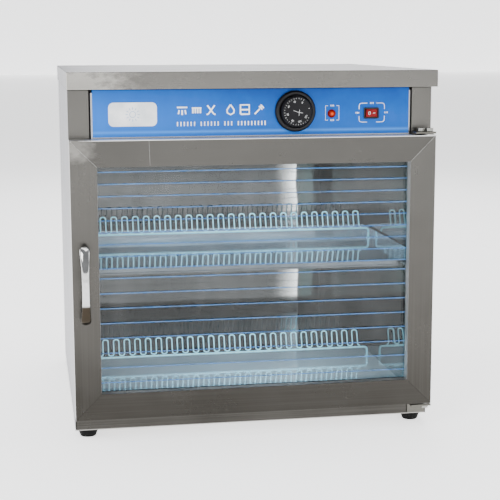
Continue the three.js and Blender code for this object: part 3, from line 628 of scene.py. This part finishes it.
class CABINET_OT_racks(BuildStep, bpy.types.Operator):
    """Bends the coated wire racks of both tiers"""

    bl_idname = "cabinet.racks"
    bl_label = "Wire racks"

    def build(self, sizes, colours):
        # Painted glow: the coat has a faint cyan emission, though the wire holds no lamp.
        coat = Finish("wire_coat", Specular_IOR_Level=0.4, Emission_Strength=0.22)
        coat.put("Emission Color", (0.16, 0.72, 1.0))
        drips = coat.noise(120.0, 4)
        coat.put("Base Color", coat.mixed(coat.span(drips, 0.35, 0.65), scaled(colours.wire, 0.85),
                                          scaled(colours.wire, 1.1)))
        coat.put("Roughness", coat.span(drips, 0.3, 0.7, 0.22, 0.36))
        coat.put("Normal", coat.bump(drips, 0.2, 0.0003))
        for tier in ("upper", "lower"):
            rail, loops = f"{tier}_rack_rail", f"{tier}_rack_loops"
            piece = merged_copy(rail, rail + "_wire")
            finished(piece, coat.material, BODY_OF[rail], SLOT_OF[rail], rail, angle=60)
            low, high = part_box(loops)
            radius = 1.0 * MM
            lean = math.atan2(high.y - low.y - 2 * radius, high.z - low.z - 2 * radius)
            climb = (high.z - low.z - 2 * radius) / math.cos(lean)
            leg = sizes.loop_pitch / 2
            count = int((high.x - low.x) / sizes.loop_pitch)
            start = -count * sizes.loop_pitch / 2

            def at(x, along):
                return (x, low.y + radius + along * math.sin(lean), low.z + radius + along * math.cos(lean))

            corners = [at(start - 3 * MM, 0)]
            for i in range(count):
                x = start + i * sizes.loop_pitch
                corners += [at(x, 0), at(x, climb), at(x + leg, climb), at(x + leg, 0)]
            corners.append(at(start + count * sizes.loop_pitch - leg + 3 * MM, 0))
            wire = drawn(loops + "_wire", [rounded(corners, leg * 0.48, 5)], radius, sizes.rail_turns)
            finished(wire, coat.material, BODY_OF[loops], SLOT_OF[loops], loops, angle=60)


# ---- Door ----
class CABINET_OT_door(BuildStep, bpy.types.Operator):
    """Builds the four mitred door members, the inner frame and the seal"""

    bl_idname = "cabinet.door"
    bl_label = "Door frame"

    def build(self, sizes, colours):
        low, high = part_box("glass_frame")
        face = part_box("door_rail_top")[0].y
        corner = (low.x + 0.012, face, high.z - 0.010)
        # Painted highlight: the folded edges behind the door's face get a light painted tone, and the upper rail a
        # bright painted line along its top fold.
        edge = (face + 0.3 * MM, (0.60, 0.60, 0.60))
        rail_tone, stile_tone = scaled(colours.steel_high, 0.46), scaled(colours.steel_high, 0.58)
        across = brushed("door_rail_steel", rail_tone, colours.steel_low, "X", 0.29, corner, 0.034, edge,
                         fold=high.z)
        upright = brushed("door_stile_steel", stile_tone, scaled(colours.steel_low, 0.9), "Z", 0.29, corner, 0.03, edge)
        inner = brushed("door_inner_steel", colours.side_steel, colours.steel_low, "X", 0.25)
        for node in ("door_rail_top", "door_rail_bottom"):
            sheet_piece(node, across)
        for node in ("door_stile_left", "door_stile_right"):
            sheet_piece(node, upright)
        sheet_piece("glass_frame", inner, fold=0.4 * MM)
        eased_piece("door_seal", moulded("seal_rubber", (0.02, 0.02, 0.02), 0.6), 0.5 * MM)
        # Painted highlight and shade: the same weld beads are painted bright at the upper corners and on the butt weld,
        # and near black at the lower corners.
        weld = plated("weld_gleam", (0.62, 0.62, 0.60), 0.25)
        shaded_weld = plated("weld_painted_shade", (0.02, 0.018, 0.016), 0.4)
        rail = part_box("door_rail_top")
        wide = rail[1].z - rail[0].z
        for name, up, z, tone in (("upper", -1, high.z, weld), ("lower", 1, low.z, shaded_weld)):
            beads = []
            for side, x in ((1, low.x), (-1, high.x)):
                ends = [(x + side * s * wide, face + 0.2 * MM, z + up * s * wide) for s in (0.03, 0.985)]
                beads.append(drawn("bead", [ends], 0.26 * MM, 8))
            finished(joined(beads, f"door_mitre_welds_{name}"), tone, "door", SLOT_OF["door_rail_top"], angle=60)
        split = low.x + 0.212 * (high.x - low.x)
        ends = [(split, face + 0.2 * MM, rail[0].z + 1 * MM), (split - 1 * MM, face + 0.2 * MM, rail[1].z - 1 * MM)]
        finished(drawn("rail_butt_weld", [ends], 0.24 * MM, 8), weld, "door", SLOT_OF["door_rail_top"], angle=60)


class CABINET_OT_glass(BuildStep, bpy.types.Operator):
    """Glazes the door and prints the stripes on the glass"""

    bl_idname = "cabinet.glass"
    bl_label = "Glass"

    def build(self, sizes, colours):
        look = Finish("clear_glass", Metallic=1.0, Base_Color=(0.95, 0.98, 0.98))
        wiped = look.noise(1.0, 4, look.stretched((18, 18, 7)))
        look.put("Roughness", look.span(wiped, 0.35, 0.75, 0.015, 0.05))
        fresnel = look.node("ShaderNodeFresnel", IOR=1.52).outputs[0]
        haze = look.span(wiped, 0.45, 0.8, 0.0, 0.012)
        look.put("Alpha", look.maths("ADD", look.span(fresnel, 0.04, 1.0, 0.012, 1.0), haze))
        eased_piece("door_glass", look.material, 0.5 * MM)
        low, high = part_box("door_glass")
        half = high.x - 7 * MM
        front = low.y - 0.12 * MM
        bottom = 12 * MM
        heights = [bottom + 357.5 * MM - i * sizes.upper_pitch for i in range(9)]
        heights += [bottom + 213.6 * MM - i * sizes.lower_pitch for i in range(8)]
        ink = Finish("stripe_ink", Roughness=0.35)
        patch = ink.noise(1.0, 4, ink.stretched((40, 40, 900)))
        ink.put("Base Color", ink.mixed(ink.span(patch, 0.3, 0.7), scaled(colours.stripe_blue, 0.8),
                                        scaled(colours.stripe_blue, 1.4)))
        ink.put("Alpha", ink.span(patch, 0.25, 0.6, 0.42, 0.72))
        tall = sizes.stripe_high / 2
        stripes = [
            block("stripe", (-half, front, z - tall), (half, low.y - 0.02 * MM, z + tall), 0.03 * MM, 1)
            for z in heights
        ]
        piece = joined(stripes, "glass_stripes")
        finished(piece, ink.material, "door", SLOT_OF["door_glass"])


class CABINET_OT_handle(BuildStep, bpy.types.Operator):
    """Shapes the chromed bow handle from a round bar"""

    bl_idname = "cabinet.handle"
    bl_label = "Handle"

    def build(self, sizes, colours):
        low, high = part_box("handle")
        middle = (low + high) / 2
        long, rise = high.z - low.z, high.y - low.y
        end_wide, waist_wide, thick = 7.6 * MM, 4.9 * MM, 2.5 * MM
        bpy.ops.object.select_all(action="DESELECT")
        bpy.ops.mesh.primitive_cylinder_add(vertices=20, radius=1, depth=2)
        piece = settled(bpy.context.object, "handle_bow")
        bpy.ops.object.mode_set(mode="EDIT")
        for k in range(1, 40):
            bpy.ops.mesh.select_all(action="SELECT")
            bpy.ops.mesh.bisect(plane_co=(0, 0, -1 + k / 20), plane_no=(0, 0, 1))
        bpy.ops.object.mode_set(mode="OBJECT")
        for vertex in piece.data.vertices:
            x, y, s = vertex.co
            angle = s * math.pi / 2
            along = abs(math.sin(angle))
            fade = math.sqrt(max(0.0, 1 - (max(0.0, along - 0.88) / 0.12) ** 2))
            wide = waist_wide + (end_wide - waist_wide) * along ** 2.6
            bow = math.cos(angle) ** 0.8 if abs(s) < 1 else 0.0
            out = Vector((0, -math.cos(angle), math.sin(angle)))
            depth = high.y - thick - (rise - 2 * thick) * bow
            run = (long / 2 - thick) * math.sin(angle)
            vertex.co = Vector((middle.x + x * wide * (0.3 + 0.7 * fade), depth, middle.z + run)) + out * (-y) * thick
        applied(piece, "SUBSURF", levels=1, render_levels=1)
        only(piece)
        bpy.ops.object.mode_set(mode="EDIT")
        bpy.ops.mesh.select_all(action="SELECT")
        bpy.ops.mesh.normals_make_consistent(inside=False)
        bpy.ops.object.mode_set(mode="OBJECT")
        chrome = Finish("handle_chrome", Metallic=1.0)
        marks = chrome.noise(60.0, 4)
        # Painted reflection: the lowest part of the chrome is painted near black.
        shade = chrome.span(chrome.along("Z"), low.z + 28 * MM, low.z + 31 * MM)
        bright = chrome.mixed(chrome.span(marks, 0.4, 0.65), (0.50, 0.50, 0.49), (0.60, 0.60, 0.59))
        chrome.put("Base Color", chrome.mixed(shade, (0.035, 0.028, 0.02), bright))
        chrome.put("Roughness", chrome.span(marks, 0.35, 0.7, 0.05, 0.13))
        chrome.put("Normal", chrome.bump(chrome.noise(25.0, 2), 0.15, 0.0008))
        finished(piece, chrome.material, "door", SLOT_OF["handle"], "handle", angle=60)


# ---- Fascia ----
# Plain pictures in a square of 16 by 16: strokes for the tools that the cabinet takes.
PICTURES = (
    (((1, 12), (15, 12)), ((4, 8.5), (3, 3)), ((8, 8.5), (8, 2)), ((12, 8.5), (13, 3))),
    (((1.5, 11), (14.5, 11)), ((3, 11), (3, 4)), ((6.3, 11), (6.3, 4)), ((9.6, 11), (9.6, 4)), ((13, 11), (13, 4))),
    (((3, 14.5), (11.5, 3)), ((13, 14.5), (4.5, 3)), ((2, 2), (4.5, 3)), ((14, 2), (11.5, 3))),
    (((8, 15), (3.2, 8), (3.6, 4), (8, 1.6), (12.4, 4), (12.8, 8), (8, 15)),),
    (((2, 2), (2, 14.5), (14, 14.5), (14, 2), (2, 2)), ((2, 8), (14, 8))),
    (((2, 2), (9, 9)), ((8, 12.5), (12.5, 8)), ((10, 14.5), (14.5, 10)), ((9.2, 10.2), (12.6, 13.4))),
)


class CABINET_OT_fascia(BuildStep, bpy.types.Operator):
    """Builds the control panel, its printed film and the blank badge"""

    bl_idname = "cabinet.fascia"
    bl_label = "Fascia"

    def build(self, sizes, colours):
        edge = polished("panel_bend", (0.42, 0.42, 0.43), 0.16, 0.1)
        panel = merged_copy("control_panel", "control_panel_sheet")
        finished(panel, edge, "cabinet", SLOT_OF["control_panel"], "control_panel", angle=50)
        film = Finish("blue_film", Specular_IOR_Level=0.08)
        low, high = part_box("fascia_film")
        left = film.span(film.along("X"), -0.21, 0.02, 1.0, 0.0)
        foot = film.span(film.along("Z"), low.z, high.z, 1.0, 0.0)
        glow = film.maths("ADD", film.maths("MULTIPLY", left, 0.30), film.maths("MULTIPLY", foot, 0.28))
        base = film.mixed(glow, tuple(colours.film), tuple(colours.film_light))
        tall = film.along("Z")
        band = film.maths("MULTIPLY", film.span(tall, low.z + 3 * MM, low.z + 6 * MM),
                          film.span(tall, low.z + 6 * MM, low.z + 9 * MM, 1.0, 0.0))
        base = film.mixed(film.maths("MULTIPLY", band, 0.55), base, (0.08, 0.36, 1.0))
        # Painted shadow: a dark band is painted along the film's top, under the lid.
        base = film.mixed(film.span(tall, high.z - 2.2 * MM, high.z - 0.6 * MM), base, (0.004, 0.012, 0.03))
        speck = film.noise(40.0, 5)
        film.put("Base Color", film.mixed(film.span(speck, 0.35, 0.7, 0.0, 0.10), base, (0.03, 0.22, 0.75)))
        film.put("Roughness", film.span(speck, 0.3, 0.7, 0.30, 0.42))
        film.put("Normal", film.bump(film.noise(1400.0, 2), 0.06, 0.0001))
        eased_piece("fascia_film", film.material, 0.08 * MM, 1)
        ink = moulded("white_print", tuple(colours.print_white), 0.45, 1200.0, 0.04)
        face = low.y - 0.03 * MM
        lines = []

        def spot(x, z):
            return (x * MM, face, (12 + z) * MM)

        for k, strokes in enumerate(PICTURES):
            x0 = -105.6 + 19.6 * k + (7 if k > 2 else 0)
            for stroke in strokes:
                lines.append([spot(x0 + u, 429.6 + v) for u, v in stroke])
        titles = drawn("titles", lines, 1.15 * MM, 8, flat=face)
        bars = [
            drawn("bar", [[spot(-104 + 4.6 * k, 416.6), spot(-104 + 4.6 * k, 422.4)]], 0.85 * MM, 8, flat=face)
            for k in range(27) if k not in (6, 13, 17)
        ]
        frames = []
        x0, x1, z0, z1 = 147, 182.8, 418.7, 444.6
        ring = [(x0, z0), (x0, z1), (x1, z1), (x1, z0)]
        for k, (x, z) in enumerate(ring):
            before, after = ring[k - 1], ring[(k + 1) % 4]
            reach = [(x + (before[0] - x) * 0.32, z + (before[1] - z) * 0.32),
                     (x + (after[0] - x) * 0.32, z + (after[1] - z) * 0.32)]
            frames.append(rounded([spot(*reach[0]), spot(x, z), spot(*reach[1])], 4 * MM))
        for side in (99.7, 118.5):
            inward = side + (3.4 if side < 109 else -3.4)
            frames.append([spot(inward, 441.6), spot(side, 441.6), spot(side, 422), spot(inward, 422)])
        frames = drawn("frames", frames, sizes.stroke / 2, 8, flat=face)
        marks = []
        for x, z in ((164.9, 444.6), (144.6, 431.6), (185.2, 431.6), (109.1, 441.8), (109.1, 422)):
            for k in (-1, 0, 1):
                marks.append([spot(x + 1.9 * k, z - 1.1), spot(x + 1.9 * k, z + 1.1)])
        marks = drawn("marks", marks, 0.45 * MM, 4, flat=face)
        piece = joined([titles, *bars, frames, marks], "fascia_print")
        finished(piece, ink, "cabinet", SLOT_OF["fascia_film"])

        plate = moulded("badge_plastic", (0.80, 0.85, 0.88), 0.35, 1500.0, 0.03)
        eased_piece("badge_plate", plate, 0.2 * MM)
        low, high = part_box("badge_plate")
        centre = ((low.x + high.x) / 2, low.y - 0.02 * MM, (low.z + high.z) / 2)
        rays = []
        for k in range(12):
            angle = k * math.pi / 6
            ends = [[centre[0] + r * MM * math.cos(angle), centre[1], centre[2] + r * MM * math.sin(angle)]
                    for r in (6.4, 9.6)]
            rays.append(ends)
        circle = [
            (centre[0] + 4 * MM * math.cos(k * math.pi / 12), centre[1],
             centre[2] + 4 * MM * math.sin(k * math.pi / 12))
            for k in range(25)
        ]
        sun = drawn("badge_sun", [circle, *rays], 0.5 * MM, 8, flat=centre[1])
        finished(sun, moulded("badge_ink", (0.30, 0.42, 0.60), 0.4, 1200.0, 0.03), "cabinet", SLOT_OF["badge_plate"])


class CABINET_OT_dial(BuildStep, bpy.types.Operator):
    """Builds the dial ring and the numbered knob"""

    bl_idname = "cabinet.dial"
    bl_label = "Dial"

    def build(self, sizes, colours):
        ring = moulded("ring_plastic", (0.005, 0.005, 0.006), 0.34, 1100.0, 0.08, 0.25)
        eased_piece("timer_bezel", ring, 0.5 * MM, 3, 25)
        knob = moulded("knob_plastic", (0.008, 0.008, 0.009), 0.55, 1100.0, 0.10, 0.12)
        eased_piece("timer_knob", knob, 0.6 * MM, 3, 25)
        low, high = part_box("timer_knob")
        x0, z0, face = (low.x + high.x) / 2, (low.z + high.z) / 2, low.y - 0.02 * MM

        def at(radius, degrees):
            angle = math.radians(degrees)
            return (x0 + radius * MM * math.cos(angle), face, z0 + radius * MM * math.sin(angle))

        first, last, steps = 61.0, 331.0, 24
        outer = 18.6
        ticks = []
        for k in range(steps + 1):
            degrees = first + (last - first) * k / steps
            longer = 0.5 if k % 4 == 0 else 0.0
            ticks.append([at(outer, degrees), at(outer - sizes.tick_long / MM - longer, degrees)])
        pointer = [[at(5.5, 165), at(1.5, 330), at(7.5, 345)], [at(4.0, 40), at(6.0, 290)]]
        prints = [drawn("ticks", ticks, 0.13 * MM, 4, flat=face), drawn("hands", pointer, 0.28 * MM, 8, flat=face),
                  drawn("off_dot", [[at(16.8, 14), at(16.8, 16)]], 0.8 * MM, 8, flat=face)]
        for k in range(7):
            degrees = first + 45 * k
            bpy.ops.object.select_all(action="DESELECT")
            bpy.ops.object.text_add(location=at(13.6, degrees))
            number = bpy.context.object
            number.data.body = str(20 * k)
            number.data.size = 3.4 * MM
            number.data.extrude = 0.03 * MM
            number.data.offset = 0.0
            number.data.align_x = "CENTER"
            number.data.align_y = "CENTER"
            turn = Matrix.Rotation(math.radians(90 - degrees), 4, "Y") @ Matrix.Rotation(math.pi / 2, 4, "X")
            number.rotation_euler = turn.to_euler()
            only(number)
            bpy.ops.object.convert(target="MESH")
            prints.append(settled(bpy.context.object, "number"))
        piece = joined(prints, "dial_print")
        ink = moulded("dial_white", (0.55, 0.56, 0.56), 0.5, 1200.0, 0.04)
        finished(piece, ink, "knob", SLOT_OF["timer_knob"])
        dressed("timer_body", plated("timer_zinc", (0.55, 0.55, 0.52), 0.35))


class CABINET_OT_switches(BuildStep, bpy.types.Operator):
    """Builds the pilot lamp and the rocker switch"""

    bl_idname = "cabinet.switches"
    bl_label = "Pilot lamp and switch"

    def build(self, sizes, colours):
        lens = Finish("lit_lens", Roughness=0.2, Specular_IOR_Level=0.12)
        low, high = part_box("pilot_lens")
        centre = ((low.x + high.x) / 2, low.y, (low.z + high.z) / 2)
        core = lens.near((centre[0] + 0.2 * MM, centre[1], centre[2]), 5.0 * MM)
        speckle = lens.noise(900.0, 3)
        hot = lens.maths("MULTIPLY", lens.maths("MULTIPLY", core, core), lens.span(speckle, 0.3, 0.6, 0.75, 1.15))
        lens.put("Base Color", lens.mixed(hot, scaled(colours.lens, 0.08), (0.3, 0.02, 0.0)))
        lens.put("Emission Color", lens.mixed(hot, (0.6, 0.0, 0.0), (1.0, 0.15, 0.0)))
        lens.put("Emission Strength", lens.span(hot, 0.0, 1.0, 0.12, 1.8))
        lens.put("Normal", lens.bump(speckle, 0.15, 0.0002))
        piece = merged_copy("pilot_lens", "pilot_dome")
        finished(piece, lens.material, "cabinet", SLOT_OF["pilot_lens"], "pilot_lens", angle=60)
        black = moulded("switch_black", (0.012, 0.012, 0.012), 0.4)
        eased_piece("pilot_body", black, 0.3 * MM)
        eased_piece("switch_body", black, 0.35 * MM)
        paddle = Finish("paddle_red", Roughness=0.25, Specular_IOR_Level=0.2)
        cloud = paddle.noise(160.0, 3)
        paddle.put("Base Color", paddle.mixed(paddle.span(cloud, 0.3, 0.7), scaled(colours.paddle, 0.8),
                                              scaled(colours.paddle, 1.3)))
        # Painted glow: the red plastic has a faint emission, though the rocker holds no lamp.
        paddle.put("Emission Color", paddle.mixed(cloud, (0.5, 0.0, 0.0), (0.7, 0.03, 0.01)))
        paddle.put("Emission Strength", paddle.span(cloud, 0.3, 0.7, 0.02, 0.06))
        eased_piece("switch_rocker", paddle.material, 0.35 * MM)
        low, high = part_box("switch_rocker")
        x0, z0 = (low.x + high.x) / 2, (low.z + high.z) / 2
        solid = frame["nodes"]["switch_rocker"].data
        faces = BVHTree.FromPolygons([v.co for v in solid.vertices], [f.vertices for f in solid.polygons])

        def on_face(x, z):
            """The point of the rocker's tilted front face at x and z, a little proud of it."""
            place = faces.ray_cast(Vector((x, low.y - 0.01, z)), Vector((0, 1, 0)))[0]
            if place is None:
                raise RuntimeError("A mark of the rocker lies off its face")
            return (x, place.y - 0.06 * MM, z)

        ring = [on_face(x0 + (-3.2 + 1.5 * math.cos(a)) * MM, z0 + 1.9 * MM * math.sin(a))
                for a in (k * math.pi / 8 for k in range(17))]
        dash = [on_face(x0 + 2.0 * MM, z0), on_face(x0 + 5.0 * MM, z0)]
        marks = drawn("rocker_marks", [ring, dash], 0.36 * MM, 8)
        white = moulded("rocker_white", (0.85, 0.80, 0.80), 0.4, 1200.0, 0.03)
        finished(marks, white, "rocker", SLOT_OF["switch_rocker"])


# ---- Small metal and inner pieces ----
class CABINET_OT_hinges(BuildStep, bpy.types.Operator):
    """Finishes the hinge plates, pins, bushes, catch and screws"""

    bl_idname = "cabinet.hinges"
    bl_label = "Hinges and catch"

    def build(self, sizes, colours):
        zinc = plated("zinc", (0.13, 0.125, 0.11), 0.28)
        bolt = plated("bolt_steel", (0.30, 0.30, 0.28), 0.18)
        for node in ("hinge_plate_top", "hinge_plate_bottom", "strike_plate"):
            eased_piece(node, zinc, 0.4 * MM)
        for node in ("hinge_pin_top", "hinge_pin_bottom", "hinge_stop_bolt"):
            eased_piece(node, bolt, 0.5 * MM)
        for node in ("handle_screw_upper", "handle_screw_lower"):
            eased_piece(node, bolt, 0.2 * MM)
        nylon = moulded("white_nylon", (0.75, 0.74, 0.70), 0.4)
        for node in ("hinge_bush_top", "hinge_bush_bottom"):
            eased_piece(node, nylon, 0.2 * MM)
        eased_piece("magnet_catch", moulded("catch_plastic", (0.03, 0.03, 0.03), 0.5), 0.8 * MM)


class CABINET_OT_electrics(BuildStep, bpy.types.Operator):
    """Finishes the lamps, sockets, ballast, wiring and the cord outlet"""

    bl_idname = "cabinet.electrics"
    bl_label = "Lamps and electrics"

    def build(self, sizes, colours):
        tube = Finish("lamp_tube", Roughness=0.08, IOR=1.5, Coat_Weight=0.5, Coat_Roughness=0.03)
        ends = tube.span(tube.maths("ABSOLUTE", tube.along("X"), 0.0), 0.145, 0.152)
        cloud = tube.noise(25.0, 3)
        clear = tube.mixed(tube.span(cloud, 0.3, 0.7), (0.60, 0.66, 0.76), (0.72, 0.78, 0.88))
        tube.put("Base Color", tube.mixed(ends, clear, (0.55, 0.55, 0.54)))
        tube.put("Metallic", ends)
        tube.put("Emission Color", tube.mixed(ends, (0.55, 0.78, 1.0), (0.0, 0.0, 0.0)))
        tube.put("Emission Strength", tube.span(ends, 0.0, 1.0, 1.4, 0.0))
        nylon = moulded("socket_white", (0.72, 0.72, 0.68), 0.42)
        for tier in ("upper", "lower"):
            eased_piece(f"uv_lamp_{tier}", tube.material, 1.2 * MM, 3)
            for side in ("left", "right"):
                eased_piece(f"lamp_socket_{tier}_{side}", nylon, 0.8 * MM)
        eased_piece("ballast", moulded("ballast_paint", (0.30, 0.31, 0.32), 0.45, 300.0), 1.0 * MM)
        eased_piece("terminal_block", nylon, 0.6 * MM)
        black = moulded("gland_nylon", (0.015, 0.015, 0.015), 0.38)
        eased_piece("cable_gland", black, 0.4 * MM)
        dressed("wiring_loom", moulded("loom_sleeve", (0.02, 0.02, 0.022), 0.5))


class CABINET_OT_feet(BuildStep, bpy.types.Operator):
    """Finishes the rubber feet"""

    bl_idname = "cabinet.feet"
    bl_label = "Feet"

    def build(self, sizes, colours):
        rubber = moulded("foot_rubber", (0.004, 0.004, 0.004), 0.7, 500.0, 0.2, 0.1)
        for end in ("front", "rear"):
            for side in ("left", "right"):
                eased_piece(f"foot_{end}_{side}", rubber, 0.9 * MM, 3, 20)


class CABINET_PT_panel(bpy.types.Panel):
    """Lists the build steps and the settings"""

    bl_idname = "CABINET_PT_panel"
    bl_label = "Sterilizer Cabinet"
    bl_space_type = "VIEW_3D"
    bl_region_type = "UI"
    bl_category = "Cabinet"

    def draw(self, context):
        for settings in (context.scene.cabinet_sizes, context.scene.cabinet_colours):
            column = self.layout.column(align=True)
            for name in settings.__annotations__:
                column.prop(settings, name)
        steps = self.layout.column(align=True)
        for step in STEPS:
            steps.operator(step.bl_idname)


STEPS = (
    CABINET_OT_stage, CABINET_OT_casing, CABINET_OT_chamber, CABINET_OT_racks, CABINET_OT_door,
    CABINET_OT_glass, CABINET_OT_handle, CABINET_OT_fascia, CABINET_OT_dial, CABINET_OT_switches,
    CABINET_OT_hinges, CABINET_OT_electrics, CABINET_OT_feet,
)
CLASSES = (CabinetSizes, CabinetColours, *STEPS, CABINET_PT_panel)


def register():
    for cls in CLASSES:
        bpy.utils.register_class(cls)
    bpy.types.Scene.cabinet_sizes = PointerProperty(type=CabinetSizes)
    bpy.types.Scene.cabinet_colours = PointerProperty(type=CabinetColours)


def unregister():
    del bpy.types.Scene.cabinet_colours
    del bpy.types.Scene.cabinet_sizes
    for cls in reversed(CLASSES):
        bpy.utils.unregister_class(cls)


def main():
    register()
    for step in STEPS:
        group, name = step.bl_idname.split(".")
        getattr(getattr(bpy.ops, group), name)()


if __name__ == "__main__":
    main()
